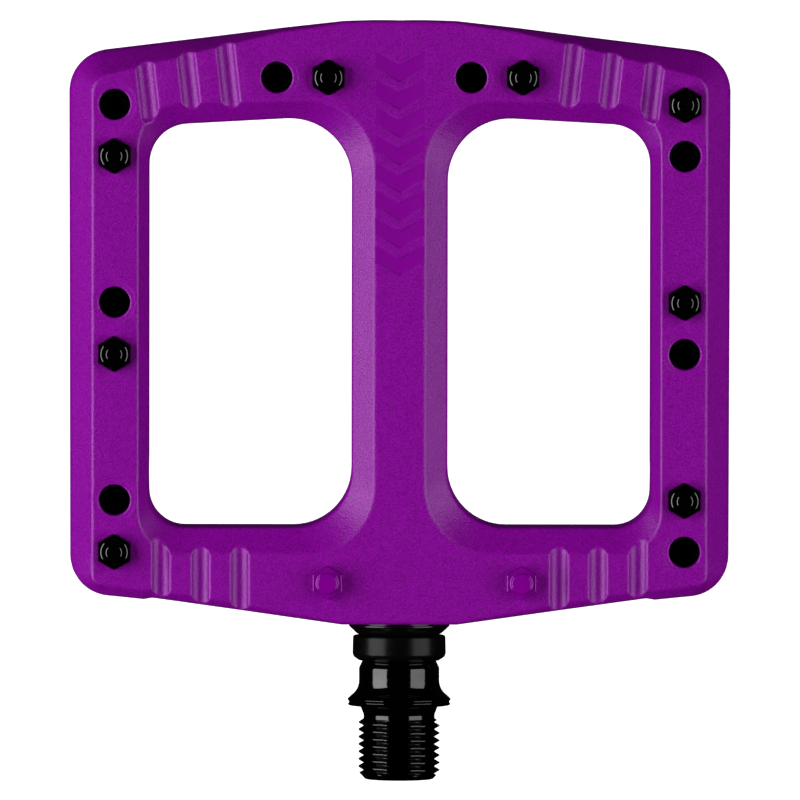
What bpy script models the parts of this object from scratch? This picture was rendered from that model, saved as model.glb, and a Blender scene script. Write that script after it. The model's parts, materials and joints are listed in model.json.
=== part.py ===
"""Left flat pedal of a bicycle: moulded platform, steel pins, spindle and its bearings.

The spindle lies along Y, with the crank at -Y and the end cap at +Y. The front face looks
along +Z. The origin is the centre of the whole object, on the spindle's axis. All the sizes
below are in millimetres; MM turns them into metres as each shape is made.
"""
import math

import bmesh
import bpy
from mathutils import Matrix, Vector

MM = 0.001
SEGMENTS = 30          # sides of the spindle and of the platform's bore
INNER_SEGMENTS = 24    # sides of the turned pieces inside them
SMALL_SEGMENTS = 12    # sides of a pin or a screw, a multiple of six to meet a hexagon
ARC_STEPS = 5          # straight steps in each rounded corner

# Platform ---------------------------------------------------------------------------------
HALF_THICKNESS = 8.9   # mid plane to the front face

# One row for each corner of the right half's outline, from the outboard end to the inboard
# end: wall corner, wall radius, face corner, face radius, and the height of the bevel between
# wall and face where the corner starts and where it ends.
OUTLINE = (
    ((4.5, 64.95), 0.0, (4.5, 64.5), 0.0, 0.4, 0.4),
    ((9.6, 64.8), 0.0, (9.6, 64.4), 0.0, 0.4, 0.4),
    ((20.0, 63.65), 0.0, (20.0, 63.0), 0.0, 2.0, 2.0),
    ((32.0, 62.15), 0.0, (31.8, 60.2), 0.0, 5.4, 5.4),
    ((56.65, 59.15), 7.2, (52.5, 54.9), 3.0, 5.4, 5.4),
    ((56.45, -32.9), 7.0, (52.5, -31.4), 1.5, 5.4, 1.7),
    ((43.7, -34.15), 0.0, (43.7, -32.5), 0.0, 1.5, 1.5),
    ((42.3, -33.9), 0.0, (42.3, -32.4), 0.0, 1.4, 1.4),
    ((27.0, -36.0), 0.0, (27.0, -34.9), 0.0, 1.0, 1.0),
    ((9.9, -38.4), 0.0, (9.9, -38.0), 0.0, 0.4, 0.4),
)

# The right window: wall corner, wall radius, face corner, face radius.
WINDOW = (
    ((8.23, 48.75), 10.6, (4.3, 51.4), 11.4),
    ((43.0, 46.85), 7.0, (44.7, 50.7), 7.6),
    ((43.0, -21.7), 6.2, (44.7, -26.3), 7.0),
    ((8.23, -21.7), 9.9, (4.3, -26.3), 11.4),
)
WINDOW_BEVEL = 3.3     # height of the bevel round each window
OVERCUT = 1.0          # how far a cutter runs past the face it opens

# Scalloped grip grooves on both faces of the outboard and inboard rails.
GROOVE_RADIUS = 1.6
GROOVE_DEPTH = 1.2
GROOVE_LENGTH = 24.0
OUTBOARD_GROOVES = ((43.1, 52.8), (36.1, 54.9), (29.35, 55.7))
OUTBOARD_GROOVE_SLANT = math.radians(6.5)
INBOARD_GROOVES = ((40.8, -30.0), (34.0, -30.0), (27.3, -30.0))

# Traction pins on the front face. The back face has the same pins turned half round about Y.
PIN_PLACES = (
    (-48.75, 41.75), (-48.75, 7.9), (-48.75, -25.95), (-12.2, 55.2),
    (21.05, 55.2), (48.75, 50.55), (48.75, 16.75), (48.75, -17.1),
)
MOULDED_PIN_PLACES = ((-12.3, -31.2), (20.9, -31.2))
PIN_HEIGHT = 3.4       # pin tip above the face
PIN_FLATS = 5.25       # across flats
PIN_HEX_HEIGHT = 1.9
PIN_CHAMFER_HEIGHT = 0.3
PIN_CHAMFER_RADIUS = 2.42
PIN_POINT_RADIUS = 1.62
PIN_TIP_RADIUS = 1.43
PIN_SEAT_DEPTH = 1.5   # pin's foot below the face
PIN_THREAD_RADIUS = 1.6
PIN_THREAD_TOP = 1.3   # end of the pin's blind thread above the face
MOULDED_FLATS = 4.95
MOULDED_POINT_RADIUS = 1.89
MOULDED_TIP_RADIUS = 1.55

SCREW_HOLE_RADIUS = 2.675
SCREW_HOLE_DEPTH = 7.3
SCREW_HEAD_RADIUS = 2.45
SCREW_HEAD_HEIGHT = 2.5
SCREW_SHANK_RADIUS = 1.4
SCREW_SOCKET_FLATS = 2.5
SCREW_SOCKET_DEPTH = 1.4
SHANK_HOLE_RADIUS = 1.75
GAP = 0.3              # room between pieces that touch end to end

# Bore of the platform, from the crank end to the end cap: radius and where it starts.
SEAL_SEAT_BORE = 7.95
BUSH_BORE = 7.15
SPAR_BORE = 6.3
BEARING_BORE = 8.15
INBOARD_FACE = -38.4
BUSH_BORE_START = -35.6
SPAR_BORE_START = -18.7
BEARING_SHOULDER = 47.3
OUTBOARD_FACE = 64.95

# Spindle ----------------------------------------------------------------------------------
SPINDLE_END = -65.35
THREAD_RADIUS = 7.14   # 9/16 inch thread
THREAD_START = -55.75
RELIEF_RADIUS = 6.15
SHOULDER_FACE = -52.55  # seats on the crank
FLANGE_RADIUS = 8.9
NECK_RADIUS = 6.9
SEAL_SEATING_RADIUS = 6.45
SEAL_SEATING_TOP = -40.65
JOURNAL_RADIUS = 5.95
JOURNAL_END = -18.2
BEARING_SEAT_RADIUS = 3.9
NUT_THREAD_RADIUS = 3.4
SPINDLE_OUTBOARD_END = 59.6
KEY_FLATS = 8.0
KEY_DEPTH = 8.8

# Outboard cartridge bearing, 8 x 16 x 5 -----------------------------------------------------
BEARING_CENTRE = 50.1
BEARING_HALF_WIDTH = 2.5
RACE_RADIUS = 6.0      # circle on which the balls run
RACE_GROOVE = 1.3
BALL_RADIUS = 1.1
BALL_COUNT = 9
INNER_RING = (4.1, 5.1)
OUTER_RING = (6.9, 7.95)
CAGE_RING = (5.5, 6.5)
CAGE_HALF_WIDTH = 1.0
SHIELD_RING = (5.35, 6.6)
SHIELD_THICKNESS = 0.4
SHIELD_INSET = 0.3     # shield's outer side below the bearing's side face


def clear_scene():
    for old in list(bpy.data.objects):
        bpy.data.objects.remove(old, do_unlink=True)


def material(name, colour, roughness, metallic=0.0):
    made = bpy.data.materials.new(name)
    made.use_nodes = True
    shader = made.node_tree.nodes["Principled BSDF"]
    shader.inputs["Base Color"].default_value = (*colour, 1.0)
    shader.inputs["Roughness"].default_value = roughness
    shader.inputs["Metallic"].default_value = metallic
    made.diffuse_color = (*colour, 1.0)
    return made


def pivot(name):
    """Empty on the spindle's axis that carries one moving group."""
    empty = bpy.data.objects.new(name, None)
    empty.empty_display_size = 20 * MM
    bpy.context.scene.collection.objects.link(empty)
    return empty


def solid(name, bm, surface, carrier=None):
    """Turn a bmesh in millimetres into a named object with its own material."""
    bmesh.ops.remove_doubles(bm, verts=bm.verts, dist=0.0005)
    bmesh.ops.recalc_face_normals(bm, faces=bm.faces)
    bmesh.ops.scale(bm, vec=(MM, MM, MM), verts=bm.verts)
    mesh = bpy.data.meshes.new(name)
    bm.to_mesh(mesh)
    bm.free()
    mesh.shade_smooth()
    mesh.set_sharp_from_angle(angle=math.radians(30))
    made = bpy.data.objects.new(name, mesh)
    bpy.context.scene.collection.objects.link(made)
    if surface:
        mesh.materials.append(surface)
    made.parent = carrier
    return made


def cut(target, tool, operation="DIFFERENCE"):
    """Boolean the tool into the target and hide the tool."""
    tool.hide_render = True
    tool.display_type = "WIRE"
    step = target.modifiers.new(tool.name, "BOOLEAN")
    step.operation = operation
    step.solver = "EXACT"
    step.object = tool


def turned(profile, segments=INNER_SEGMENTS):
    """Spin a section about Y. A section that starts and ends on the axis is solid, and any
    other is a ring. Each point is (radius, y)."""
    bm = bmesh.new()
    points = [bm.verts.new((radius, y, 0.0)) for radius, y in profile]
    on_axis = profile[0][0] == 0.0 and profile[-1][0] == 0.0
    if not on_axis:
        points.append(points[0])
    edges = [bm.edges.new(pair) for pair in zip(points, points[1:])]
    bmesh.ops.spin(bm, geom=list(bm.verts) + edges, cent=(0, 0, 0), axis=(0, 1, 0),
                   angle=math.tau, steps=segments)
    return bm


def stacked(rings, bm=None, closed_tube=False):
    """Skin rings that have the same number of points, and cap the ends or join them."""
    bm = bm or bmesh.new()
    loops = [[bm.verts.new(point) for point in ring] for ring in rings]
    pairs = list(zip(loops, loops[1:]))
    if closed_tube:
        pairs.append((loops[-1], loops[0]))
    for low, high in pairs:
        for i in range(len(low)):
            bm.faces.new((low[i - 1], low[i], high[i], high[i - 1]))
    if not closed_tube:
        bm.faces.new(reversed(loops[0]))
        bm.faces.new(loops[-1])
    return bm


def rounded(corners, steps=ARC_STEPS):
    """Closed loop of (x, y) points through (corner, radius) pairs, with each radius an arc."""
    points = []
    for i, (corner, radius) in enumerate(corners):
        here = Vector(corner)
        if not radius:
            points.append(here)
            continue
        before = (Vector(corners[i - 1][0]) - here).normalized()
        after = (Vector(corners[(i + 1) % len(corners)][0]) - here).normalized()
        half_angle = before.angle(after) / 2
        centre = here + (before + after).normalized() * radius / math.sin(half_angle)
        start = here + before * radius / math.tan(half_angle) - centre
        turn = start.angle_signed(here + after * radius / math.tan(half_angle) - centre)
        for step in range(steps + 1):
            points.append(centre + Matrix.Rotation(-turn * step / steps, 2) @ start)
    return points


def at_height(points, z):
    """Put (x, y) points at one height."""
    return [(x, y, z) for x, y in points]


def circle(radius, z, centre=(0.0, 0.0), count=SMALL_SEGMENTS):
    angles = [math.tau * i / count for i in range(count)]
    return [(centre[0] + radius * math.cos(a), centre[1] + radius * math.sin(a), z)
            for a in angles]


def hexagon(flats, z, centre=(0.0, 0.0), count=SMALL_SEGMENTS):
    """Hexagon with flats towards X and points towards Y, sampled like a circle."""
    ring = []
    for i in range(count):
        angle = math.tau * i / count
        off_flat = (angle + math.pi / 6) % (math.pi / 3) - math.pi / 6
        radius = flats / 2 / math.cos(off_flat)
        ring.append((centre[0] + radius * math.cos(angle),
                     centre[1] + radius * math.sin(angle), z))
    return ring


def flipped(ring):
    """Half turn about Y, which carries the front face's features to the back face."""
    return [(-x, y, -z) for x, y, z in ring]


def platform_blank():
    """Outline with its bevelled edges, before anything is cut from it."""
    right = list(OUTLINE)
    left = [((-wx, wy), wr, (-fx, fy), fr, last, first)
            for (wx, wy), wr, (fx, fy), fr, first, last in reversed(OUTLINE)]
    rows = right + left
    wall = rounded([(row[0], row[1]) for row in rows])
    face = rounded([(row[2], row[3]) for row in rows])
    drops = []
    for row in rows:
        steps = ARC_STEPS if row[1] else 0
        drops += [row[4] + (row[5] - row[4]) * i / max(steps, 1) for i in range(steps + 1)]
    low = [(p.x, p.y, -(HALF_THICKNESS - drop)) for p, drop in zip(wall, drops)]
    high = [(x, y, -z) for x, y, z in low]
    return stacked([at_height(face, -HALF_THICKNESS), low, high, at_height(face, HALF_THICKNESS)])


def window_cutters():
    """Both windows, with the bevels carried on past each face."""
    wall = rounded([(row[0], row[1]) for row in WINDOW])
    face = rounded([(row[2], row[3]) for row in WINDOW])
    past = [f + (f - w) * OVERCUT / WINDOW_BEVEL for w, f in zip(wall, face)]
    top = HALF_THICKNESS + OVERCUT
    rings = [at_height(past, -top), at_height(wall, WINDOW_BEVEL - HALF_THICKNESS),
             at_height(wall, HALF_THICKNESS - WINDOW_BEVEL), at_height(past, top)]
    bm = stacked(rings)
    return stacked([flipped(ring) for ring in rings], bm)


def groove_cutters():
    """Long rods that scallop both faces and run out where the bevels fall away."""
    bm = bmesh.new()
    lift = HALF_THICKNESS - GROOVE_DEPTH + GROOVE_RADIUS
    grooves = [(x, y, OUTBOARD_GROOVE_SLANT) for x, y in OUTBOARD_GROOVES]
    grooves += [(x, y, 0.0) for x, y in INBOARD_GROOVES]
    for x, y, slant in grooves:
        for side in (-1, 1):
            for z in (-lift, lift):
                place = (Matrix.Translation((side * x, y, z))
                         @ Matrix.Rotation(-side * slant, 4, "Z")
                         @ Matrix.Rotation(math.pi / 2, 4, "X"))
                bmesh.ops.create_cone(bm, cap_ends=True, segments=14, radius1=GROOVE_RADIUS,
                                      radius2=GROOVE_RADIUS, depth=GROOVE_LENGTH, matrix=place)
    return bm


def bore_cutter():
    """Stepped hole for the seal seat, bush, spindle, bearing and end cap."""
    return turned([
        (0.0, INBOARD_FACE - OVERCUT), (SEAL_SEAT_BORE, INBOARD_FACE - OVERCUT),
        (SEAL_SEAT_BORE, BUSH_BORE_START), (BUSH_BORE, BUSH_BORE_START),
        (BUSH_BORE, SPAR_BORE_START), (SPAR_BORE, SPAR_BORE_START),
        (SPAR_BORE, BEARING_SHOULDER), (BEARING_BORE, BEARING_SHOULDER),
        (BEARING_BORE, OUTBOARD_FACE + OVERCUT), (0.0, OUTBOARD_FACE + OVERCUT)], SEGMENTS)


def pin_hole_rings(place):
    """Hexagonal seat on the front, clearance for the screw, and its access hole behind."""
    counterbore = SCREW_HOLE_DEPTH - HALF_THICKNESS
    seat = HALF_THICKNESS - PIN_SEAT_DEPTH - GAP
    flats = PIN_FLATS + 0.4
    return [
        circle(SCREW_HOLE_RADIUS, -HALF_THICKNESS - OVERCUT, place),
        circle(SCREW_HOLE_RADIUS, counterbore, place), circle(SHANK_HOLE_RADIUS, counterbore, place),
        circle(SHANK_HOLE_RADIUS, seat, place), hexagon(flats, seat, place),
        hexagon(flats, HALF_THICKNESS + OVERCUT, place)]


def pin_hole_cutters():
    bm = bmesh.new()
    for place in PIN_PLACES:
        rings = pin_hole_rings(place)
        stacked(rings, bm)
        stacked([flipped(ring) for ring in rings], bm)
    return bm


def moulded_pins():
    """Studs that are one piece with the platform."""
    bm = bmesh.new()
    hex_top = HALF_THICKNESS + PIN_HEX_HEIGHT
    tip = HALF_THICKNESS + PIN_HEIGHT
    for place in MOULDED_PIN_PLACES:
        rings = [hexagon(MOULDED_FLATS, HALF_THICKNESS - OVERCUT, place),
                 hexagon(MOULDED_FLATS, hex_top, place),
                 circle(MOULDED_POINT_RADIUS, hex_top, place),
                 circle(MOULDED_TIP_RADIUS, tip, place)]
        stacked(rings, bm)
        stacked([flipped(ring) for ring in rings], bm)
    return bm


def build_platform(surface, carrier):
    body = solid("platform_body", platform_blank(), surface, carrier)
    cut(body, solid("moulded_pin_shapes", moulded_pins(), None, carrier), "UNION")
    cut(body, solid("window_cutter", window_cutters(), None, carrier))
    cut(body, solid("groove_cutter", groove_cutters(), None, carrier))
    cut(body, solid("bore_cutter", bore_cutter(), None, carrier))
    cut(body, solid("pin_hole_cutter", pin_hole_cutters(), None, carrier))


def pin_rings(place):
    """Closed-end threaded pin, from the top of its thread round to its tip."""
    foot = HALF_THICKNESS - PIN_SEAT_DEPTH
    hex_top = HALF_THICKNESS + PIN_HEX_HEIGHT
    ledge = hex_top + PIN_CHAMFER_HEIGHT
    return [
        circle(PIN_THREAD_RADIUS, HALF_THICKNESS + PIN_THREAD_TOP, place),
        circle(PIN_THREAD_RADIUS, foot, place), hexagon(PIN_FLATS, foot, place),
        hexagon(PIN_FLATS, hex_top, place), circle(PIN_CHAMFER_RADIUS, ledge, place),
        circle(PIN_POINT_RADIUS, ledge, place),
        circle(PIN_TIP_RADIUS, HALF_THICKNESS + PIN_HEIGHT, place)]


def screw_rings(place):
    """Socket-head screw, from the bottom of its socket round to the end of its shank."""
    shoulder = SCREW_HOLE_DEPTH - HALF_THICKNESS - GAP
    top = shoulder - SCREW_HEAD_HEIGHT
    end = HALF_THICKNESS + PIN_THREAD_TOP - GAP
    return [
        hexagon(SCREW_SOCKET_FLATS, top + SCREW_SOCKET_DEPTH, place),
        hexagon(SCREW_SOCKET_FLATS, top, place), circle(SCREW_HEAD_RADIUS, top, place),
        circle(SCREW_HEAD_RADIUS, shoulder, place), circle(SCREW_SHANK_RADIUS, shoulder, place),
        circle(SCREW_SHANK_RADIUS, end, place)]


def build_pins(pin_surface, screw_surface, carrier):
    for number, place in enumerate(PIN_PLACES, start=1):
        pin = pin_rings(place)
        screw = screw_rings(place)
        solid(f"traction_pin_front_{number}", stacked(pin), pin_surface, carrier)
        solid(f"pin_screw_front_{number}", stacked(screw), screw_surface, carrier)
        solid(f"traction_pin_back_{number}", stacked([flipped(r) for r in pin]),
              pin_surface, carrier)
        solid(f"pin_screw_back_{number}", stacked([flipped(r) for r in screw]),
              screw_surface, carrier)


def arc(centre, radius, start, end, steps):
    """Points on an arc in the (radius, y) section plane, angles in degrees."""
    angles = [math.radians(start + (end - start) * i / steps) for i in range(steps + 1)]
    return [(centre[0] + radius * math.cos(a), centre[1] + radius * math.sin(a)) for a in angles]


def spindle_profile():
    """From the crank end to the outboard end."""
    chamfer = 1.0
    flare = arc((NECK_RADIUS + 3.0, -48.4), 3.0, 180, 250, 4)
    return [
        (0.0, SPINDLE_END), (THREAD_RADIUS - chamfer, SPINDLE_END),
        (THREAD_RADIUS, SPINDLE_END + chamfer), (THREAD_RADIUS, THREAD_START),
        (RELIEF_RADIUS, THREAD_START + 0.7), (RELIEF_RADIUS, SHOULDER_FACE),
        (FLANGE_RADIUS - 0.4, SHOULDER_FACE), (FLANGE_RADIUS, SHOULDER_FACE + 0.4),
        (FLANGE_RADIUS - 0.25, -51.85), (FLANGE_RADIUS, -51.4), *reversed(flare),
        (NECK_RADIUS, -46.2), (SEAL_SEATING_RADIUS, -45.4),
        (SEAL_SEATING_RADIUS, SEAL_SEATING_TOP), (JOURNAL_RADIUS, SEAL_SEATING_TOP + 0.4),
        (JOURNAL_RADIUS, JOURNAL_END), (5.2, JOURNAL_END + 1.2), (4.8, 46.0), (4.8, 47.3),
        (BEARING_SEAT_RADIUS, 47.3), (BEARING_SEAT_RADIUS, 52.3), (NUT_THREAD_RADIUS, 52.6),
        (NUT_THREAD_RADIUS, SPINDLE_OUTBOARD_END - 0.6), (2.8, SPINDLE_OUTBOARD_END),
        (0.0, SPINDLE_OUTBOARD_END)]


def hex_key_cutter(flats, mouth, depth):
    """Hexagonal socket along Y, open at the mouth. A negative depth runs towards -Y."""
    bm = bmesh.new()
    start = mouth - math.copysign(OVERCUT, depth)
    length = abs(depth) + OVERCUT
    place = (Matrix.Translation((0, start + math.copysign(length / 2, depth), 0))
             @ Matrix.Rotation(math.pi / 2, 4, "X"))
    corner = flats / 2 / math.cos(math.pi / 6)
    bmesh.ops.create_cone(bm, cap_ends=True, segments=6, radius1=corner, radius2=corner,
                          depth=length, matrix=place)
    return bm


def build_spindle(steel, rubber):
    spindle = solid("spindle", turned(spindle_profile(), SEGMENTS), steel)
    cut(spindle, solid("key_cutter", hex_key_cutter(KEY_FLATS, SPINDLE_END, KEY_DEPTH), None))
    seal = [(6.75, -40.6), (7.8, -40.6), (7.95, -40.8), (8.05, -43.7), (7.85, -44.35),
            (6.75, -44.95)]
    solid("spindle_seal", turned(seal), rubber)


def build_bushes(black, bronze, carrier):
    seat = [(6.25, -35.9), (7.75, -35.9), (7.75, -38.7), (8.65, -38.7), (8.65, -39.0),
            (7.2, -40.3), (6.25, -40.3)]
    solid("seal_seat", turned(seat), black, carrier)
    bush = [(6.1, -35.3), (6.95, -35.3), (6.95, -19.0), (6.1, -19.0)]
    solid("inboard_bush", turned(bush), bronze, carrier)


def ring_section(radii, low, high):
    """Rectangular section of a plain ring."""
    return [(radii[0], low), (radii[1], low), (radii[1], high), (radii[0], high)]


def race_arc(edge_radius, facing):
    """Ball groove between the two points where it meets a ring's shoulder radius."""
    reach = math.degrees(math.acos(abs(RACE_RADIUS - edge_radius) / RACE_GROOVE))
    middle = 0 if facing > 0 else 180
    return arc((RACE_RADIUS, BEARING_CENTRE), RACE_GROOVE, middle - reach, middle + reach, 3)


def ball_cage():
    """Cage ring that the balls are set into."""
    low, high = BEARING_CENTRE - CAGE_HALF_WIDTH, BEARING_CENTRE + CAGE_HALF_WIDTH
    return turned(ring_section(CAGE_RING, low, high), segments=18)


def balls():
    bm = bmesh.new()
    for i in range(BALL_COUNT):
        angle = math.tau * i / BALL_COUNT
        place = Matrix.Translation((RACE_RADIUS * math.cos(angle), BEARING_CENTRE,
                                    RACE_RADIUS * math.sin(angle)))
        bmesh.ops.create_uvsphere(bm, u_segments=8, v_segments=5, radius=BALL_RADIUS,
                                  matrix=place)
    return bm


def build_bearing(steel, cage_steel, shield_rubber, platform, cage_carrier):
    low, high = BEARING_CENTRE - BEARING_HALF_WIDTH, BEARING_CENTRE + BEARING_HALF_WIDTH
    inner = [(INNER_RING[0], high), (INNER_RING[0], low), (INNER_RING[1], low)]
    inner += reversed(race_arc(INNER_RING[1], -1))
    inner.append((INNER_RING[1], high))
    solid("bearing_inner_ring", turned(inner), steel)

    outer = [(OUTER_RING[1], low), (OUTER_RING[1], high), (OUTER_RING[0], high)]
    outer += reversed(race_arc(OUTER_RING[0], 1))
    outer.append((OUTER_RING[0], low))
    solid("bearing_outer_ring", turned(outer), steel, platform)

    cage = solid("bearing_ball_cage", ball_cage(), cage_steel, cage_carrier)
    cut(cage, solid("ball_shapes", balls(), None, cage_carrier), "UNION")

    near = low + SHIELD_INSET
    far = high - SHIELD_INSET - SHIELD_THICKNESS
    for name, start in (("bearing_shield_inboard", near), ("bearing_shield_outboard", far)):
        section = ring_section(SHIELD_RING, start, start + SHIELD_THICKNESS)
        solid(name, turned(section), shield_rubber, platform)


def along_y(ring):
    """Lay a ring made round Z over onto the spindle's axis."""
    return [(x, z, -y) for x, y, z in ring]


def build_fasteners(steel):
    solid("bearing_washer", turned(ring_section((3.7, 5.1), 52.9, 53.9)), steel)
    low, high, thread = 54.2, 58.7, 3.65
    rings = [circle(thread, low), hexagon(10.0, low), hexagon(10.0, high), circle(thread, high)]
    solid("lock_nut", stacked([along_y(ring) for ring in rings], closed_tube=True), steel)


def build_end_cap(black, rubber, carrier):
    inner, outer = 60.4, 64.65
    cap = solid("end_cap", turned([
        (0.0, inner), (7.4, inner), (7.9, inner + 0.5), (7.9, 61.8), (7.0, 61.8), (7.0, 63.0),
        (7.95, 63.0), (7.95, outer - 0.4), (7.55, outer), (0.0, outer)]), black, carrier)
    cut(cap, solid("cap_key_cutter", hex_key_cutter(6.0, outer, -2.4), None, carrier))
    solid("end_cap_ring", turned(arc((7.55, 62.4), 0.35, 0, 288, 4)), rubber, carrier)


def main():
    clear_scene()
    platform = pivot("platform_pivot")
    cage = pivot("ball_cage_pivot")
    nylon = material("moulded_nylon", (0.2, 0.004, 0.26), 0.45)
    black_steel = material("black_steel", (0.012, 0.012, 0.013), 0.25, 0.9)
    pin_steel = material("pin_steel", (0.03, 0.03, 0.035), 0.3, 0.9)
    black_plastic = material("black_plastic", (0.01, 0.01, 0.011), 0.4)
    rubber = material("rubber", (0.02, 0.02, 0.02), 0.8)
    bronze = material("bush_bronze", (0.45, 0.28, 0.12), 0.4, 1.0)
    bearing_steel = material("bearing_steel", (0.6, 0.6, 0.62), 0.2, 1.0)
    build_platform(nylon, platform)
    build_pins(pin_steel, black_steel, platform)
    build_spindle(black_steel, rubber)
    build_bushes(black_plastic, bronze, platform)
    build_bearing(bearing_steel, bearing_steel, rubber, platform, cage)
    build_fasteners(black_steel)
    build_end_cap(black_plastic, rubber, platform)


main()
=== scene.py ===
import json
import math

import bmesh
import bpy
import numpy as np
from mathutils import Matrix, Vector


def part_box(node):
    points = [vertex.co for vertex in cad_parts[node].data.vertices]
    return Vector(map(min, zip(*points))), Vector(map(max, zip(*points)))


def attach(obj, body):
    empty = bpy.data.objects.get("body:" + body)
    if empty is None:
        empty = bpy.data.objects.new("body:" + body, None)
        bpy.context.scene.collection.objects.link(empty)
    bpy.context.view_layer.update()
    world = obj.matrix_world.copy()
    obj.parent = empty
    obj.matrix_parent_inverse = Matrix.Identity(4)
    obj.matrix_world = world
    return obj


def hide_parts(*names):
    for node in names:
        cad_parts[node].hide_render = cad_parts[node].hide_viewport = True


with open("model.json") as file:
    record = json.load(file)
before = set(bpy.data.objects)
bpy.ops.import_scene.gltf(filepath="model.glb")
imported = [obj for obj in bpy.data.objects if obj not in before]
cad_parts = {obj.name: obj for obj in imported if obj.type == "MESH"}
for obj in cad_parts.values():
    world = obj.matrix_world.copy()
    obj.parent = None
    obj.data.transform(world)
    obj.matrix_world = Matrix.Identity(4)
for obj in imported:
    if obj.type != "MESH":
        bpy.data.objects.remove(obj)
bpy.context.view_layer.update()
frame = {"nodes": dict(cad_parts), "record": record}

MM = 0.001
PLATFORM = "platform_unit"
SPINDLE = "spindle_unit"


# ------------------------------------------------------------------------------------------
# Sizes taken from the frame, in millimetres
# ------------------------------------------------------------------------------------------

def mount_point(name):
    found = next(m for m in frame["record"]["mounts"] if m["name"] == name)
    return Vector(found["pos_m"]) / MM


def node_box(name):
    low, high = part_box(name)
    return low / MM, high / MM


def node_centre(name):
    low, high = node_box(name)
    return (low + high) / 2


HALF = mount_point("front_sole_face").z     # mid plane to either sole face
PINS = sorted(name for name in frame["nodes"] if name.startswith("traction_pin"))
SCREWS = sorted(name for name in frame["nodes"] if name.startswith("pin_screw"))

# ------------------------------------------------------------------------------------------
# Dimensions in millimetres
# ------------------------------------------------------------------------------------------

# One row for each corner of the right half's outline, from the outboard end to the inboard
# end: wall corner, wall radius, face corner, face radius.
OUTLINE = (
    ((4.5, 64.95), 0.0, (4.5, 64.5), 0.0),
    ((9.6, 64.8), 0.0, (9.6, 64.4), 0.0),
    ((20.0, 63.65), 0.0, (20.0, 63.0), 0.0),
    ((32.0, 62.15), 0.0, (31.8, 60.2), 0.0),
    ((56.65, 59.15), 7.2, (52.5, 54.9), 3.0),
    ((56.45, -32.9), 7.0, (52.5, -31.4), 1.5),
    ((43.7, -34.15), 0.0, (43.7, -32.5), 0.0),
    ((42.3, -33.9), 0.0, (42.3, -32.4), 0.0),
    ((27.0, -36.0), 0.0, (27.0, -34.9), 0.0),
    ((9.9, -38.4), 0.0, (9.9, -38.0), 0.0),
)
# Height of the bevel between wall and face, at these distances from the spindle's axis.
OUTBOARD_DROP = ((9.6, 0.4), (20.0, 2.0), (32.0, 5.4))
INBOARD_DROP = ((9.9, 0.4), (27.0, 1.0), (42.3, 1.4), (50.0, 1.7))
SIDE_DROP = 5.4
INBOARD_CORNER = (50.05, -26.3)

# The right window: wall corner, wall radius, face corner, face radius.
WINDOW = (
    ((8.23, 48.75), 10.6, (4.3, 51.4), 11.4),
    ((43.0, 46.85), 7.0, (44.7, 50.7), 7.6),
    ((43.0, -21.7), 6.2, (44.7, -26.3), 7.0),
    ((8.23, -21.7), 9.9, (4.3, -26.3), 11.4),
)
WINDOW_BEVEL = 3.3
# The windows' inboard walls lean away from the mid plane. The lean grows between two distances
# along the spindle, and the outline above holds at one height.
DRAFT_SLOPE = 0.08
DRAFT_START = -10.0
DRAFT_FULL = -20.0
DRAFT_HEIGHT = 2.5

GROOVE_RADIUS = 1.7
GROOVE_DEPTH = 1.0
OUTBOARD_SLANT = math.radians(6.5)
# Centre of each groove, its slant, and how far it runs from there towards the windows.
GROOVES = (
    (43.1, 52.8, OUTBOARD_SLANT, 4.2), (36.1, 54.9, OUTBOARD_SLANT, 12.0),
    (29.35, 55.7, OUTBOARD_SLANT, 12.0), (40.8, -30.0, 0.0, 12.0), (34.0, -30.0, 0.0, 12.0),
    (27.3, -30.0, 0.0, 12.0),
)

# Bore from the crank end to the end cap: radius, start and end.
BORE = (
    (7.95, -40.0, -35.6), (7.15, -35.6, -18.7), (6.3, -18.7, 47.3), (8.15, 47.3, 66.0),
)
HOLE_RADIUS = 2.675     # access hole of each pin's screw
HOLE_DEPTH = 7.3
SEAT_FLATS = 5.36       # hexagonal seat of each pin
SEAT_DEPTH = 1.8
SHANK_RADIUS = 1.75
DISH_RADIUS = 3.6       # shallow disc moulded round each pin and hole
DISH_DEPTH = 0.07

CHEVRON_PLACES = [22.8 + 4.73 * i for i in range(8)]
CHEVRON_HALF_WIDTH = 4.15
CHEVRON_STROKE = 2.9
CHEVRON_RISE = 0.55
CHEVRON_DEPTH = 0.25

EDGE_ROUND = 0.2        # wall, bevel and face edges
RIM_ROUND = 0.15        # rims of grooves and holes
CHEVRON_ROUND = 0.08
DISH_ROUND = 0.05
BORE_ROUND = 0.1

# Hexagonal steel pins and the moulded studs like them, measured up from the sole face.
PIN_FLATS = 5.2
PIN_HEX_HEIGHT = 1.95
PIN_BOSS_HEIGHT = 0.21
PIN_HEIGHT = 3.4
STUD_HEX_HEIGHT = 1.9
STUD_PLACES = ((-12.3, -31.2), (20.9, -31.2))

THREAD_PITCH = 1.27
THREAD_CREST = 6.98
THREAD_ROOT = 6.05
THREAD_STOP = -54.8     # shoulder end of the thread, along the spindle
THREAD_PHASE = 0.345    # a crest passes this distance along the spindle on its +X side
SPINDLE_KEY = 8.0       # hexagon socket in the crank end
CAP_KEY = 6.0           # hexagon socket in the end cap
SCREW_KEY = 2.5

# ------------------------------------------------------------------------------------------
# Meshing
# ------------------------------------------------------------------------------------------

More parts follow.
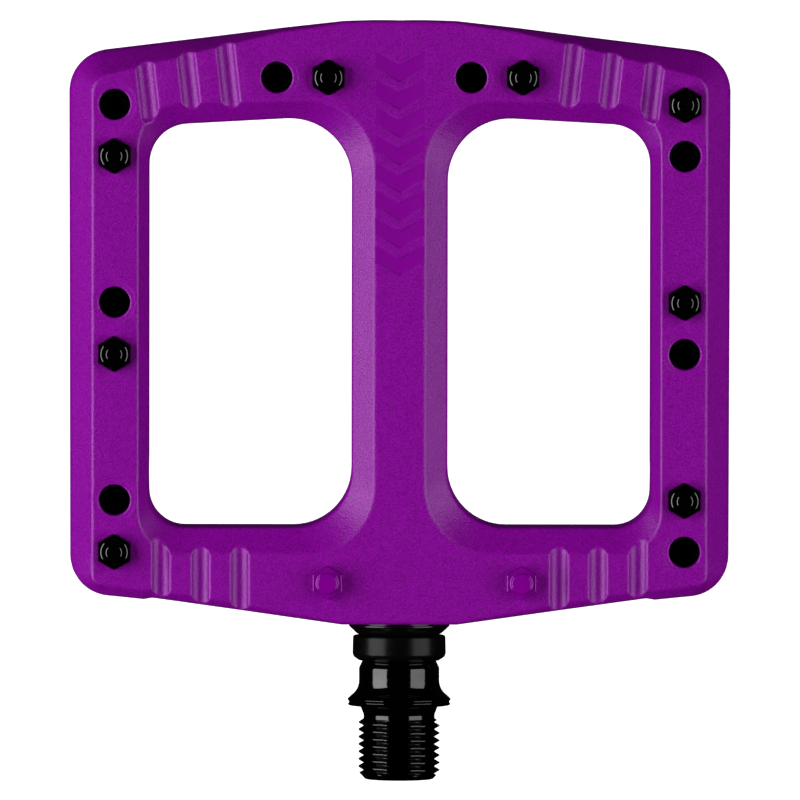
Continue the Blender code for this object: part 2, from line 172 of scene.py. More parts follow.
GRID_STEP = 0.25
FACE_STEP = 0.2         # between grid heights next to the sole faces
BEVEL_STEP = 0.35       # between grid heights along the bevels
KEPT_SHARE = 0.18       # share of the net's triangles that is kept
FLAT_ANGLE = 0.4        # degrees from the field's slope within which a face counts as flat
FLAT_EDGE_ANGLE = 29.0  # degrees that a flat face's corner normals may lean and still be set flat
SHARP_ANGLE = 32.0      # degrees between faces above which an edge of a ring mesh is sharp
CRISP_ANGLE = 18.0      # the same, on pieces whose narrow chamfers catch the light
PIN_COUNT = 72          # points round each pin
SCREW_COUNT = 48
TURNED_COUNT = 120


# ------------------------------------------------------------------------------------------
# Platform: a distance field over a grid, negative inside the plastic
# ------------------------------------------------------------------------------------------


def rounded(corners, steps=14):
    """Closed loop of (x, y) points through (corner, radius) pairs, with each radius an arc."""
    points = []
    for i, (corner, radius) in enumerate(corners):
        here = Vector(corner)
        if not radius:
            points.append(here)
            continue
        before = (Vector(corners[i - 1][0]) - here).normalized()
        after = (Vector(corners[(i + 1) % len(corners)][0]) - here).normalized()
        half_angle = before.angle(after) / 2
        centre = here + (before + after).normalized() * radius / math.sin(half_angle)
        start = here + before * radius / math.tan(half_angle) - centre
        turn = start.angle_signed(here + after * radius / math.tan(half_angle) - centre)
        for step in range(steps + 1):
            points.append(centre + Matrix.Rotation(-turn * step / steps, 2) @ start)
    return points


def outline_distance(corners, x, y):
    """Signed distance in the plane from a closed outline, negative inside."""
    points = rounded(corners)
    nearest = np.full(np.broadcast(x, y).shape, np.inf)
    inside = np.zeros(nearest.shape, bool)
    for i, b in enumerate(points):
        a = points[i - 1]
        run, rise = b - a
        along = ((x - a.x) * run + (y - a.y) * rise) / (run * run + rise * rise)
        along = np.clip(along, 0.0, 1.0)
        nearest = np.minimum(nearest, (x - a.x - along * run) ** 2 + (y - a.y - along * rise) ** 2)
        if rise:
            inside ^= ((a.y > y) != (b.y > y)) & (x < a.x + (y - a.y) * run / rise)
    return np.where(inside, -1.0, 1.0) * np.sqrt(nearest)


def intersect(a, b, radius):
    """Where two solids overlap, with the edge between them rounded."""
    corner = np.hypot(np.maximum(a + radius, 0.0), np.maximum(b + radius, 0.0))
    return np.minimum(np.maximum(a, b), -radius) + corner


def bevel_distance(wall, face, height, drop):
    """Distance from the slope between a wall outline and a face outline drop above it."""
    lean = face - wall
    return (wall + lean * (height - HALF + drop) / drop) * drop / np.hypot(drop, lean)


def outline_drop(x, y):
    """Height of the outer bevel at each place round the outline."""
    outboard = np.interp(x, *zip(*OUTBOARD_DROP))
    inboard = np.interp(x, *zip(*INBOARD_DROP))
    turn = np.arctan2(INBOARD_CORNER[1] - y, np.maximum(x - INBOARD_CORNER[0], 1e-6))
    turn = np.clip(turn / (math.pi / 2), 0.0, 1.0)
    inboard = np.where(x > INBOARD_CORNER[0], SIDE_DROP + (inboard - SIDE_DROP) * turn, inboard)
    side = np.where(x > 44.0, SIDE_DROP, 1.0)
    return np.where(y > 10.0, outboard, np.where(y < INBOARD_CORNER[1], inboard, side))


def blank_field(x, y, height):
    """The outline with its bevelled edges. x is the distance from the mid plane."""
    right = list(OUTLINE)
    left = [((-wx, wy), wr, (-fx, fy), fr) for (wx, wy), wr, (fx, fy), fr in reversed(OUTLINE)]
    rows = right + left
    wall = outline_distance([(row[0], row[1]) for row in rows], x, y)
    face = outline_distance([(row[2], row[3]) for row in rows], x, y)
    bevel = bevel_distance(wall, face, height, outline_drop(x, y))
    body = intersect(wall, bevel, EDGE_ROUND)
    return intersect(body, height - HALF, EDGE_ROUND)


def cut_windows(body, x, y, height):
    wall = outline_distance([(row[0], row[1]) for row in WINDOW], x, y)
    drafted = np.clip((DRAFT_START - y) / (DRAFT_START - DRAFT_FULL), 0.0, 1.0)
    wall = wall + DRAFT_SLOPE * drafted * (DRAFT_HEIGHT - height)
    face = outline_distance([(row[2], row[3]) for row in WINDOW], x, y)
    body = intersect(body, -wall, EDGE_ROUND)
    return intersect(body, bevel_distance(-wall, -face, height, WINDOW_BEVEL), EDGE_ROUND)


def cut_grooves(body, x, y, height):
    lift = HALF - GROOVE_DEPTH + GROOVE_RADIUS
    for cx, cy, slant, reach in GROOVES:
        across = (x - cx) * math.cos(slant) - (y - cy) * math.sin(slant)
        along = (x - cx) * math.sin(slant) + (y - cy) * math.cos(slant)
        past_end = np.maximum(along * math.copysign(1.0, -cy) - reach, 0.0)
        rod = np.hypot(np.hypot(across, height - lift), past_end) - GROOVE_RADIUS
        body = intersect(body, -rod, RIM_ROUND)
    return body


def chevron_distance(x, y):
    """Distance across the nearest of the spar's chevrons, negative inside."""
    steps = np.array(CHEVRON_PLACES).reshape((-1,) + (1,) * np.broadcast(x, y).ndim)
    away = np.abs(y - steps - CHEVRON_RISE * x).min(axis=0)
    stroke = (away - CHEVRON_STROKE / 2) / math.hypot(1.0, CHEVRON_RISE)
    return np.maximum(stroke, x - CHEVRON_HALF_WIDTH)


def cut_chevrons(body, x, y, height):
    """Stack of shallow chevrons on the spar, deepest along its middle."""
    depth = CHEVRON_DEPTH * np.maximum(1.0 - (x / CHEVRON_HALF_WIDTH) ** 2, 0.0)
    pocket = HALF - depth - height
    return intersect(body, -np.maximum(chevron_distance(x, y), pocket), CHEVRON_ROUND)


def cut_bore(body, x, y, z):
    ring = np.hypot(x, z)
    for radius, start, end in BORE:
        part = np.maximum(ring - radius, np.maximum(start - y, y - end))
        body = intersect(body, -part, BORE_ROUND)
    return body


def hexagon_distance(x, y, flats):
    """Hexagon with flats towards X, negative inside."""
    reach = np.abs(x)
    for angle in (math.pi / 3, -math.pi / 3):
        reach = np.maximum(reach, np.abs(x * math.cos(angle) + y * math.sin(angle)))
    return reach - flats / 2


def cut_pin_hole(body, grid, place, up):
    """Seat, shank hole and screw access of one pin that stands on the side up, +1 or -1."""
    reach = DISH_RADIUS + 1.0
    spans = [slice(*np.searchsorted(axis, (middle - reach, middle + reach)))
             for axis, middle in zip(grid, place)]
    x = grid[0][spans[0], None, None] - place[0]
    y = grid[1][None, spans[1], None] - place[1]
    z = grid[2][None, None, :] * up
    ring = np.hypot(x, y)
    part = body[spans[0], spans[1]]
    dish = np.maximum(ring - DISH_RADIUS, HALF - DISH_DEPTH - np.abs(z))
    part = intersect(part, -dish, DISH_ROUND)
    seat = np.maximum(hexagon_distance(x, y, SEAT_FLATS), HALF - SEAT_DEPTH - z)
    part = intersect(part, -seat, RIM_ROUND)
    access = np.maximum(ring - HOLE_RADIUS, z + HALF - HOLE_DEPTH)
    part = intersect(part, -access, RIM_ROUND)
    body[spans[0], spans[1]] = intersect(part, SHANK_RADIUS - ring, BORE_ROUND)


def height_levels():
    """Grid heights, close together near the sole faces and far apart between them."""
    reach = HALF + 0.45
    fine = np.arange(reach, HALF - 1.4, -FACE_STEP)
    middle = np.arange(fine[-1] - BEVEL_STEP, 5.0, -BEVEL_STEP)
    coarse = np.linspace(0.0, middle[-1] - 0.8, 5)
    upper = np.concatenate([coarse, middle[::-1], fine[::-1]])
    return np.concatenate([-upper[:0:-1], upper])


def platform_field():
    low, high = node_box("platform_body")
    margin = 2 * GRID_STEP
    xs = np.arange(low.x - margin, high.x + margin, GRID_STEP)
    ys = np.arange(low.y - margin, high.y + margin, GRID_STEP)
    zs = height_levels()
    side, y, height = np.abs(xs)[:, None, None], ys[None, :, None], np.abs(zs)[None, None, :]
    body = blank_field(side, y, height)
    body = cut_windows(body, side, y, height)
    body = cut_grooves(body, side, y, height)
    body = cut_chevrons(body, side, y, height)
    body = cut_bore(body, side, y, zs[None, None, :])
    for pin in PINS:
        place = node_centre(pin)
        cut_pin_hole(body, (xs, ys, zs), (place.x, place.y), math.copysign(1.0, place.z))
    return body.astype(np.float32), (xs, ys, zs)


def surface_net(field, axes):
    """Quads across every grid edge that the surface crosses, with one point in each cell."""
    inside = field < 0.0
    shape = np.array(field.shape)
    owners, places, quads = [], [], []
    for axis in range(3):
        step = np.eye(3, dtype=int)[axis]
        one, two = np.eye(3, dtype=int)[(axis + 1) % 3], np.eye(3, dtype=int)[(axis + 2) % 3]
        near = tuple(slice(0, -1) if i == axis else slice(None) for i in range(3))
        far = tuple(slice(1, None) if i == axis else slice(None) for i in range(3))
        nodes = np.argwhere(inside[near] != inside[far])
        first = field[tuple(nodes.T)]
        second = field[tuple((nodes + step).T)]
        share = first / (first - second)
        place = np.stack([axes[i][nodes[:, i]] for i in range(3)], axis=1)
        place[:, axis] += share * (axes[axis][nodes[:, axis] + 1] - place[:, axis])
        ring = [nodes, nodes - one, nodes - one - two, nodes - two]
        cells = np.stack([np.ravel_multi_index(tuple(c.T), tuple(shape)) for c in ring], axis=1)
        leaving = first < 0.0
        quads.append(np.where(leaving[:, None], cells, cells[:, ::-1]))
        owners.append(cells.ravel())
        places.append(np.repeat(place, 4, axis=0))
    owners, places, quads = map(np.concatenate, (owners, places, quads))
    names, index = np.unique(owners, return_inverse=True)
    count = np.bincount(index)
    points = np.stack([np.bincount(index, places[:, i]) / count for i in range(3)], axis=1)
    return points, np.searchsorted(names, quads)


def sampled(field, axes, points):
    """Field at any points, by linear interpolation in the grid."""
    lower, share = [], []
    for i in range(3):
        position = np.interp(points[:, i], axes[i], np.arange(len(axes[i])))
        base = np.minimum(position.astype(int), len(axes[i]) - 2)
        lower.append(base)
        share.append(position - base)
    total = 0.0
    for corner in range(8):
        offset = [corner >> i & 1 for i in range(3)]
        weight = 1.0
        for i in range(3):
            weight = weight * (share[i] if offset[i] else 1.0 - share[i])
        total = total + weight * field[tuple(lower[i] + offset[i] for i in range(3))]
    return total


def sampled_slope(field, axes, points):
    slopes = np.gradient(field, *axes)
    slope = np.stack([sampled(part, axes, points) for part in slopes], axis=1)
    return slope / np.maximum(np.linalg.norm(slope, axis=1, keepdims=True), 1e-9)


def thinned(mesh, share):
    """Fewer triangles where the surface is flat or bends slowly."""
    whole = bpy.data.objects.new("whole", mesh)
    bpy.context.scene.collection.objects.link(whole)
    step = whole.modifiers.new("thin", "DECIMATE")
    step.ratio = share
    state = bpy.context.evaluated_depsgraph_get()
    made = bpy.data.meshes.new_from_object(whole.evaluated_get(state))
    bpy.data.objects.remove(whole)
    return made


def shade_from_field(mesh, field, axes):
    """Smooth shading with the field's own slope, and true flats on the large flat faces."""
    points = np.empty(len(mesh.vertices) * 3)
    mesh.vertices.foreach_get("co", points)
    normals = sampled_slope(field, axes, points.reshape(-1, 3) / MM)
    corners = np.empty(len(mesh.loops), int)
    mesh.loops.foreach_get("vertex_index", corners)
    sides = np.empty(len(mesh.polygons), int)
    mesh.polygons.foreach_get("loop_total", sides)
    faces = np.empty(len(mesh.polygons) * 3)
    mesh.polygons.foreach_get("normal", faces)
    faces = np.repeat(faces.reshape(-1, 3), sides, axis=0)
    smooth = normals[corners]
    agree = (smooth * faces).sum(axis=1)
    best = np.maximum.reduceat(agree, np.cumsum(sides) - sides)
    on_flat = np.repeat(best, sides) > math.cos(math.radians(FLAT_ANGLE))
    near_flat = agree > math.cos(math.radians(FLAT_EDGE_ANGLE))
    smooth = np.where((on_flat & near_flat)[:, None], faces, smooth)
    mesh.shade_smooth()
    mesh.normals_split_custom_set(smooth.tolist())


def smooth_chevrons(mesh, surface):
    """Give the floors of the chevrons a second, smoother material."""
    mesh.materials.append(surface)
    centres = np.empty(len(mesh.polygons) * 3)
    mesh.polygons.foreach_get("center", centres)
    x, y, z = centres.reshape(-1, 3).T / MM
    sunk = (chevron_distance(np.abs(x), y) < 0.0) & (np.abs(z) > HALF - 2 * CHEVRON_DEPTH)
    mesh.polygons.foreach_set("material_index", sunk.astype(np.int32))


def build_platform(surface, smooth_surface):
    field, axes = platform_field()
    points, quads = surface_net(field, axes)
    for _ in range(2):
        slope = sampled_slope(field, axes, points)
        points = points - sampled(field, axes, points)[:, None] * slope
    mesh = bpy.data.meshes.new("platform_net")
    mesh.from_pydata(points * MM, [], quads)
    mesh.update()
    mesh = thinned(mesh, KEPT_SHARE)
    shade_from_field(mesh, field, axes)
    shell = placed("platform_shell", mesh, surface, PLATFORM, ["platform_body"])
    shell.visible_glossy = False    # keeps the purple out of the black steel's reflections
    smooth_chevrons(shell.data, smooth_surface)


# ------------------------------------------------------------------------------------------
# Pieces made of stacked rings
# ------------------------------------------------------------------------------------------

def placed(name, mesh, surface, body, nodes=()):
    """Link a piece to the scene and to the frame."""
    made = bpy.data.objects.new(name, mesh)
    bpy.context.scene.collection.objects.link(made)
    mesh.materials.clear()
    mesh.materials.append(surface)
    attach(made, body)
    if nodes:
        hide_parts(*nodes)
    return made


def ring_mesh(name, rings, closed_tube=False, sharp=SHARP_ANGLE):
    """Skin rings of points in millimetres that have the same count, and cap the ends."""
    bm = bmesh.new()
    loops = [[bm.verts.new(Vector(point) * MM) for point in ring] for ring in rings]
    pairs = list(zip(loops, loops[1:]))
    if closed_tube:
        pairs.append((loops[-1], loops[0]))
    for low, high in pairs:
        for i in range(len(low)):
            bm.faces.new((low[i - 1], low[i], high[i], high[i - 1]))
    if not closed_tube:
        bm.faces.new(reversed(loops[0]))
        bm.faces.new(loops[-1])
    bmesh.ops.recalc_face_normals(bm, faces=bm.faces)
    mesh = bpy.data.meshes.new(name)
    bm.to_mesh(mesh)
    bm.free()
    mesh.shade_smooth()
    mesh.set_sharp_from_angle(angle=math.radians(sharp))
    return mesh


def hexagon(flats, turn=0.0):
    """Radius of a hexagon at an angle, as ring() takes it; without a turn, flats face X."""
    def reach(angle):
        off_flat = (angle + turn + math.pi / 6) % (math.pi / 3) - math.pi / 6
        return flats / 2 / math.cos(off_flat)
    return reach


def ring(reach, level, count):
    """Ring of points round Z; reach is a radius, or a function of the angle."""
    points = []
    for i in range(count):
        angle = math.tau * i / count
        radius = reach(angle) if callable(reach) else reach
        points.append((radius * math.cos(angle), radius * math.sin(angle), level))
    return points


def along_y(rings):
    """Lay rings made round Z over onto the spindle's axis."""
    return [[(x, z, -y) for x, y, z in points] for points in rings]


def moved(rings, place, up):
    """Stand rings on one sole face: up is +1 for the front and -1 for the back."""
    return [[(place[0] + up * x, place[1] + y, up * z) for x, y, z in points] for points in rings]


def softened(profile, radius, steps=3):
    """Round every corner of an open (radius, level) profile, by at most a third of a side."""
    points = [Vector(profile[0])]
    for before, here, after in zip(profile, profile[1:], profile[2:]):
        before, here, after = Vector(before), Vector(here), Vector(after)
        reach = min(radius, (before - here).length / 3, (after - here).length / 3)
        start = here + (before - here).normalized() * reach
        end = here + (after - here).normalized() * reach
        for i in range(steps + 1):
            share = i / steps
            points.append(start.lerp(here, share).lerp(here.lerp(end, share), share))
    points.append(Vector(profile[-1]))
    return points


def pin_profile():
    """Steel pin from under the face to its tip: hexagon, low round boss and point."""
    hex_top = HALF + PIN_HEX_HEIGHT
    boss_top = hex_top + PIN_BOSS_HEIGHT
    tip = HALF + PIN_HEIGHT
    rings = [ring(1.5, HALF - 1.5, PIN_COUNT)]
    for flats, level in ((PIN_FLATS, HALF - 1.5), (PIN_FLATS, hex_top - 0.05),
                         (PIN_FLATS - 0.1, hex_top)):
        rings.append(ring(hexagon(flats), level, PIN_COUNT))
    for radius, level in ((2.33, hex_top), (2.31, hex_top + 0.15), (2.2, boss_top),
                          (1.42, boss_top), (1.36, tip - 0.05), (1.27, tip)):
        rings.append(ring(radius, level, PIN_COUNT))
    return rings


def build_pins(surface):
    rings = pin_profile()
    for name in PINS:
        place = node_centre(name)
        up = math.copysign(1.0, place.z)
        mesh = ring_mesh(name + "_fine", moved(rings, place, up), sharp=CRISP_ANGLE)
        placed(name + "_fine", mesh, surface, PLATFORM, [name])


def stud_profile():
    """Blunt plastic stud with the form of the steel pins."""
    hex_top = HALF + STUD_HEX_HEIGHT
    tip = HALF + PIN_HEIGHT
    rings = []
    for flats, level in ((5.25, HALF - 0.4), (5.12, HALF + 0.05), (5.0, HALF + 0.3),
                         (4.96, hex_top - 0.09), (4.66, hex_top)):
        rings.append(ring(hexagon(flats), level, PIN_COUNT))
    for radius, level in ((2.02, hex_top), (2.0, hex_top + 0.12), (1.84, hex_top + 0.21),
                          (1.7, hex_top + 0.24), (1.66, tip - 0.06), (1.55, tip)):
        rings.append(ring(radius, level, PIN_COUNT))
    return rings


def build_moulded_pins(surface):
    rings = stud_profile()
    for number, (x, y) in enumerate(STUD_PLACES, start=1):
        for side, up in (("front", 1.0), ("back", -1.0)):
            name = f"moulded_pin_{side}_{number}"
            mesh = ring_mesh(name, moved(rings, (up * x, y), up), sharp=CRISP_ANGLE)
            stud = placed(name, mesh, surface, PLATFORM)
            stud.visible_glossy = False


def build_screws(surface):
    """Socket-head screws that hold the pins, sunk in the far face."""
    shoulder = HOLE_DEPTH - HALF - 0.3
    top = shoulder - 2.5
    key = hexagon(SCREW_KEY)
    rings = [ring(0.4, top + 1.6, SCREW_COUNT), ring(key, top + 1.4, SCREW_COUNT),
             ring(key, top + 0.12, SCREW_COUNT), ring(hexagon(SCREW_KEY + 0.2), top, SCREW_COUNT)]
    for radius, level in ((2.15, top), (2.35, top + 0.06), (2.45, top + 0.2),
                          (2.45, shoulder - 0.08), (2.38, shoulder), (1.4, shoulder),
                          (1.4, HALF + 1.0)):
        rings.append(ring(radius, level, SCREW_COUNT))
    for name in SCREWS:
        up = 1.0 if "front" in name else -1.0
        mesh = ring_mesh(name + "_fine", moved(rings, node_centre(name), up))
        placed(name + "_fine", mesh, surface, PLATFORM, [name])


def turned_mesh(name, profile):
    """Hollow turned piece on the spindle's axis; each profile point is (radius, y)."""
    return ring_mesh(name, along_y([ring(r, y, TURNED_COUNT) for r, y in profile]), True)


def thread_reach(level, angle):
    """Radius of a left-hand thread: 60 degree V with a narrow crest and a rounded root."""
    phase = ((level - THREAD_PHASE) / THREAD_PITCH + angle / math.tau) % 1.0
    height = math.sqrt(3) * THREAD_PITCH * (0.5 - abs(phase - 0.5))
    return THREAD_ROOT + min(THREAD_CREST - THREAD_ROOT, max(0.0, height - 0.03))


def thread_rings(start):
    """Thread from its chamfered start at the crank end to its run-out at the relief."""
    rings = []
    for level in np.arange(start, THREAD_STOP, THREAD_PITCH / 20):
        lead_in = 5.95 + (level - start) * 0.95
        run_out = 6.1 + max(0.0, THREAD_STOP - 0.1 - level) * 1.4
        limit = min(lead_in, run_out)
        rings.append(ring(lambda angle: min(thread_reach(level, angle), limit), level,
                          TURNED_COUNT))
    return rings


def spindle_rings():
    low, high = node_box("spindle")
    end, far_end = low.y, high.y
    count = TURNED_COUNT
    key = hexagon(SPINDLE_KEY, math.pi / 6)
    mouth = hexagon(SPINDLE_KEY + 0.5, math.pi / 6)
    rings = [ring(0.5, end + 9.0, count), ring(key, end + 8.4, count),
             ring(key, end + 0.3, count), ring(mouth, end, count)]
    rings += [ring(5.65, end, count), ring(5.85, end + 0.06, count)]
    rings += thread_rings(end + 0.15)
    flare = [(9.9 - 3.0 * math.cos(math.radians(t)), -48.4 - 3.0 * math.sin(math.radians(t)))
             for t in range(0, 57, 7)]
    profile = [(6.1, THREAD_STOP), (6.1, -54.25), (6.6, -52.95), (6.9, -52.65), (8.55, -52.65),
               (8.86, -52.5), (8.58, -52.06), (8.9, -51.57), *reversed(flare), (6.9, -46.2),
               (6.3, -44.95), (6.3, -40.65), (5.95, -40.25), (5.95, -18.2), (5.2, -17.0),
               (4.8, 46.0), (4.8, 47.3), (3.9, 47.3), (3.9, 52.3), (3.4, 52.6),
               (3.4, far_end - 0.6), (2.8, far_end)]
    for radius, level in softened(profile, 0.12):
        rings.append(ring(radius, level, count))
    return along_y(rings)


def build_spindle(steel, rubber, plastic):
    mesh = ring_mesh("spindle_fine", spindle_rings(), sharp=CRISP_ANGLE)
    placed("spindle_fine", mesh, steel, SPINDLE, ["spindle"])
    seal = [(6.75, -40.6), (7.75, -40.6), (7.95, -40.85), (8.02, -43.75), (7.8, -44.3),
            (6.9, -44.9), (6.6, -44.9)]
    mesh = turned_mesh("spindle_seal_fine", softened(seal, 0.25))
    placed("spindle_seal_fine", mesh, rubber, SPINDLE, ["spindle_seal"])
    seat = [(6.25, -40.3), (6.25, -35.9), (7.75, -35.9), (7.75, -38.7), (8.65, -38.7),
            (8.65, -39.0), (7.25, -40.3)]
    mesh = turned_mesh("seal_seat_fine", softened(seat, 0.12))
    placed("seal_seat_fine", mesh, plastic, PLATFORM, ["seal_seat"])


def build_end_cap(surface):
    low, high = node_box("end_cap")
    inner, outer = low.y, high.y
    count = TURNED_COUNT
    key = hexagon(CAP_KEY, math.pi / 6)
    mouth = hexagon(CAP_KEY + 0.4, math.pi / 6)
    rings = [ring(0.4, outer - 2.5, count), ring(key, outer - 2.4, count),
             ring(key, outer - 0.2, count), ring(mouth, outer, count)]
    profile = [(3.9, outer), (7.55, outer), (7.95, outer - 0.4), (7.95, 63.0), (7.0, 63.0),
               (7.0, 61.8), (7.9, 61.8), (7.9, inner + 0.5), (7.4, inner), (0.5, inner)]
    for radius, level in softened(profile, 0.15):
        rings.append(ring(radius, level, count))
    mesh = ring_mesh("end_cap_fine", along_y(rings))
    placed("end_cap_fine", mesh, surface, PLATFORM, ["end_cap"])


# ------------------------------------------------------------------------------------------
# Materials
# ------------------------------------------------------------------------------------------

class Surface:
    """A node material whose detail lives in object space, in metres."""

    def __init__(self, name, colour, roughness, metallic=0.0, specular=0.5):
        self.made = bpy.data.materials.new(name)
        self.made.use_nodes = True
        self.tree = self.made.node_tree
        self.shader = self.tree.nodes["Principled BSDF"]
        self.shader.inputs["Base Color"].default_value = (*colour, 1.0)
        self.shader.inputs["Roughness"].default_value = roughness
        self.shader.inputs["Metallic"].default_value = metallic
        self.shader.inputs["Specular IOR Level"].default_value = specular
        self.place = self.tree.nodes.new("ShaderNodeTexCoord").outputs["Object"]

    def node(self, kind, values=(), links=()):
        made = self.tree.nodes.new(kind)
        for socket, value in dict(values).items():
            made.inputs[socket].default_value = value
        for socket, source in dict(links).items():
            self.tree.links.new(source, made.inputs[socket])
        return made

    def noise(self, size, detail=2.0, roughness=0.5, stretch=None):
        """Noise whose features are about size metres across."""
        place = self.place
        if stretch:
            place = self.node("ShaderNodeMapping", {"Scale": stretch}, {"Vector": place}).outputs[0]
        values = {"Scale": 1.0 / size, "Detail": detail, "Roughness": roughness}
        return self.node("ShaderNodeTexNoise", values, {"Vector": place}).outputs[0]

    def ramp(self, source, *stops):
        """Colours or greys at positions along a factor."""
        made = self.node("ShaderNodeValToRGB", links={"Fac": source})
        points = made.color_ramp.elements
        while len(points) < len(stops):
            points.new(0.5)
        for point, (position, value) in zip(points, stops):
            point.position = position
            colour = value if isinstance(value, tuple) else (value,) * 3
            point.color = (*colour, 1.0)
        return made.outputs[0]

    def feed(self, socket, source):
        self.tree.links.new(source, self.shader.inputs[socket])

    def bump(self, *layers):
        """Layers of (height source, depth in metres) as one bump."""
        normal = None
        for source, depth in layers:
            links = {"Height": source}
            if normal:
                links["Normal"] = normal
            made = self.node("ShaderNodeBump", {"Strength": 1.0, "Distance": depth}, links)
            normal = made.outputs[0]
        self.feed("Normal", normal)


def nylon(name, coarseness=1.0, roughness=0.32, specular=0.6, tint=0.62):
    """Purple glass-filled nylon, satin and finely grained; tint is the green in its shine."""
    made = Surface(name, (0.31, 0.0003, 0.41), roughness, specular=specular)
    made.shader.inputs["Specular Tint"].default_value = (1.0, tint, 1.0, 1.0)
    cloud = made.noise(0.012, 3.0, 0.6)
    grain = made.noise(0.00026, 1.0, 0.6)
    low = 0.31 - 0.09 * coarseness
    high = 0.31 + 0.15 * coarseness
    made.feed("Base Color", made.ramp(grain, (0.3, (low, 0.0002, 1.3 * low)),
                                      (0.7, (high, 0.004 * coarseness, 1.28 * high))))
    made.feed("Roughness", made.ramp(made.noise(0.0012, 3.0, 0.6), (0.3, roughness - 0.03),
                                     (0.7, roughness + 0.03)))
    made.bump((grain, 0.00006 * coarseness), (cloud, 0.0001))
    return made.made


def black_steel(name, tone=0.06, roughness=0.07):
    """Black-plated steel with the fine rings that turning leaves under the plating."""
    made = Surface(name, (tone, tone, tone), roughness, 1.0)
    grit = made.noise(0.0005, 3.0, 0.6)
    shade = made.ramp(made.noise(0.004, 2.0), (0.3, tone * 0.85), (0.7, tone * 1.15))
    made.feed("Base Color", shade)
    made.feed("Roughness", made.ramp(grit, (0.3, roughness - 0.02), (0.7, roughness + 0.03)))
    turning = made.noise(0.0004, 2.0, 0.5, stretch=(0.05, 1.0, 0.05))
    made.bump((turning, 0.000004), (grit, 0.000003))
    return made.made


def matte(name, colour, roughness, grain_size, depth, metallic=0.0, specular=0.5):
    """Plain moulded or machined surface with a grain."""
    made = Surface(name, colour, roughness, metallic, specular)
    grain = made.noise(grain_size, 3.0, 0.6)
    darker = tuple(0.8 * c for c in colour)
    lighter = tuple(1.2 * c for c in colour)
    made.feed("Base Color", made.ramp(made.noise(grain_size * 12), (0.3, darker), (0.7, lighter)))
    made.feed("Roughness", made.ramp(grain, (0.3, roughness - 0.06), (0.7, roughness + 0.06)))
    made.bump((grain, depth))
    return made.made


# ------------------------------------------------------------------------------------------
# Stage
# ------------------------------------------------------------------------------------------

FLOOR_LEVEL = -0.062
SOFTBOX_SIZE = (0.72, 0.58)     # along the pedal, and up
SOFTBOX_DISTANCE = 0.7
CAMERA_DISTANCE = 2.15
CAMERA_TILT = math.radians(2.03)
CAMERA_ROLL = math.radians(0.08)
VIEW_WIDTH = 0.13675        # width of the view at the front sole face
VIEW_CENTRE = Vector((0.00008, 0.0001, HALF * MM))


def build_floor():
    bpy.ops.mesh.primitive_plane_add(size=6.0, location=(0, 0, FLOOR_LEVEL))
    floor = bpy.context.object
    floor.name = "floor"
    made = Surface("pale_floor", (0.85, 0.85, 0.85), 0.9)
    made.shader.inputs["Emission Color"].default_value = (1.0, 1.0, 1.0, 1.0)
    made.shader.inputs["Emission Strength"].default_value = 0.9
    floor.data.materials.append(made.made)
    floor.visible_diffuse = False
    floor.visible_glossy = False


def softbox(name, azimuth, elevation, power):
    """Rectangular area light that faces the origin; azimuth from +X towards +Y."""
    light = bpy.data.lights.new(name, "AREA")
    light.shape = "RECTANGLE"
    light.size, light.size_y = SOFTBOX_SIZE
    light.energy = power
    lamp = bpy.data.objects.new(name, light)
    bpy.context.scene.collection.objects.link(lamp)
    a, e = math.radians(azimuth), math.radians(elevation)
    away = Vector((math.cos(a) * math.cos(e), math.sin(a) * math.cos(e), math.sin(e)))
    lamp.location = away * SOFTBOX_DISTANCE
    lamp.rotation_euler = away.to_track_quat("Z", "Y").to_euler()


def build_lights():
    softbox("left_softbox", 180, 31.5, 4.55)
    softbox("right_softbox", 0, 34, 2.8)
    world = bpy.data.worlds.new("studio")
    bpy.context.scene.world = world
    world.use_nodes = True
    sky = world.node_tree.nodes["Background"]
    sky.inputs["Color"].default_value = (1, 1, 1, 1)
    sky.inputs["Strength"].default_value = 0.004


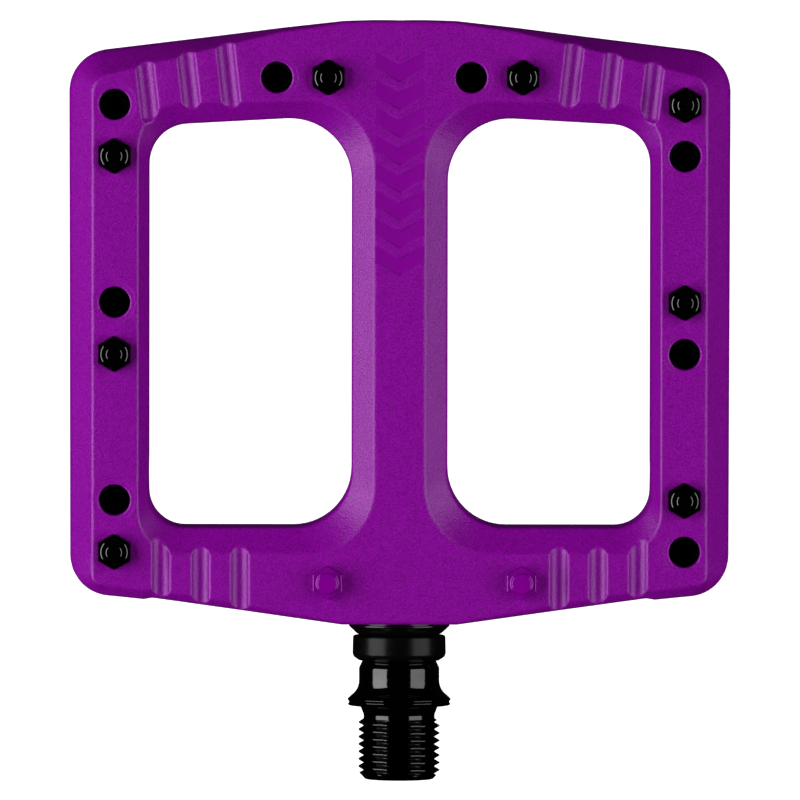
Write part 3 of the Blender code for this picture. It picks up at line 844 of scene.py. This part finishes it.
def build_camera():
    data = bpy.data.cameras.new("camera")
    camera = bpy.data.objects.new("camera", data)
    bpy.context.scene.collection.objects.link(camera)
    back = Vector((0.0, math.sin(CAMERA_TILT), math.cos(CAMERA_TILT)))
    camera.location = VIEW_CENTRE + back * CAMERA_DISTANCE
    aim = Matrix.Rotation(-CAMERA_TILT, 4, "X") @ Matrix.Rotation(CAMERA_ROLL, 4, "Z")
    camera.rotation_euler = aim.to_euler()
    data.lens = data.sensor_width * CAMERA_DISTANCE / VIEW_WIDTH
    bpy.context.scene.camera = camera
    bpy.context.scene.view_settings.view_transform = "Standard"


# ------------------------------------------------------------------------------------------

purple = nylon("purple_nylon")
steel = black_steel("spindle_steel")
pin_metal = black_steel("pin_metal", 0.1, 0.09)
black_plastic = matte("seat_plastic", (0.003, 0.003, 0.003), 0.2, 0.0004, 0.000002)
screw_black = matte("screw_oxide", (0.001, 0.001, 0.001), 0.6, 0.0004, 0.000004, 0.0, 0.05)
aluminium = matte("cap_aluminium", (0.014, 0.014, 0.015), 0.35, 0.0003, 0.000006)
rubber = matte("seal_rubber", (0.002, 0.002, 0.002), 0.26, 0.0005, 0.000003, 0.0, 0.2)
bronze = matte("bronze", (0.45, 0.28, 0.12), 0.4, 0.0004, 0.00001, 1.0)
bright_steel = matte("bright_steel", (0.6, 0.6, 0.62), 0.22, 0.0003, 0.000004, 1.0)

build_camera()
build_floor()
build_lights()
build_platform(purple, nylon("smooth_nylon", 0.15, specular=0.4))
build_moulded_pins(nylon("stud_nylon", 0.15, 0.15, 0.7, 0.3))
build_pins(pin_metal)
build_screws(screw_black)
build_spindle(steel, rubber, black_plastic)
build_end_cap(aluminium)

KEPT_NODES = {
    "inboard_bush": bronze, "bearing_inner_ring": bright_steel, "bearing_outer_ring": bright_steel,
    "bearing_ball_cage": bright_steel, "bearing_shield_inboard": rubber,
    "bearing_shield_outboard": rubber, "bearing_washer": steel, "lock_nut": steel,
    "end_cap_ring": rubber,
}
for node_name, finish in KEPT_NODES.items():
    frame["nodes"][node_name].data.materials.clear()
    frame["nodes"][node_name].data.materials.append(finish)
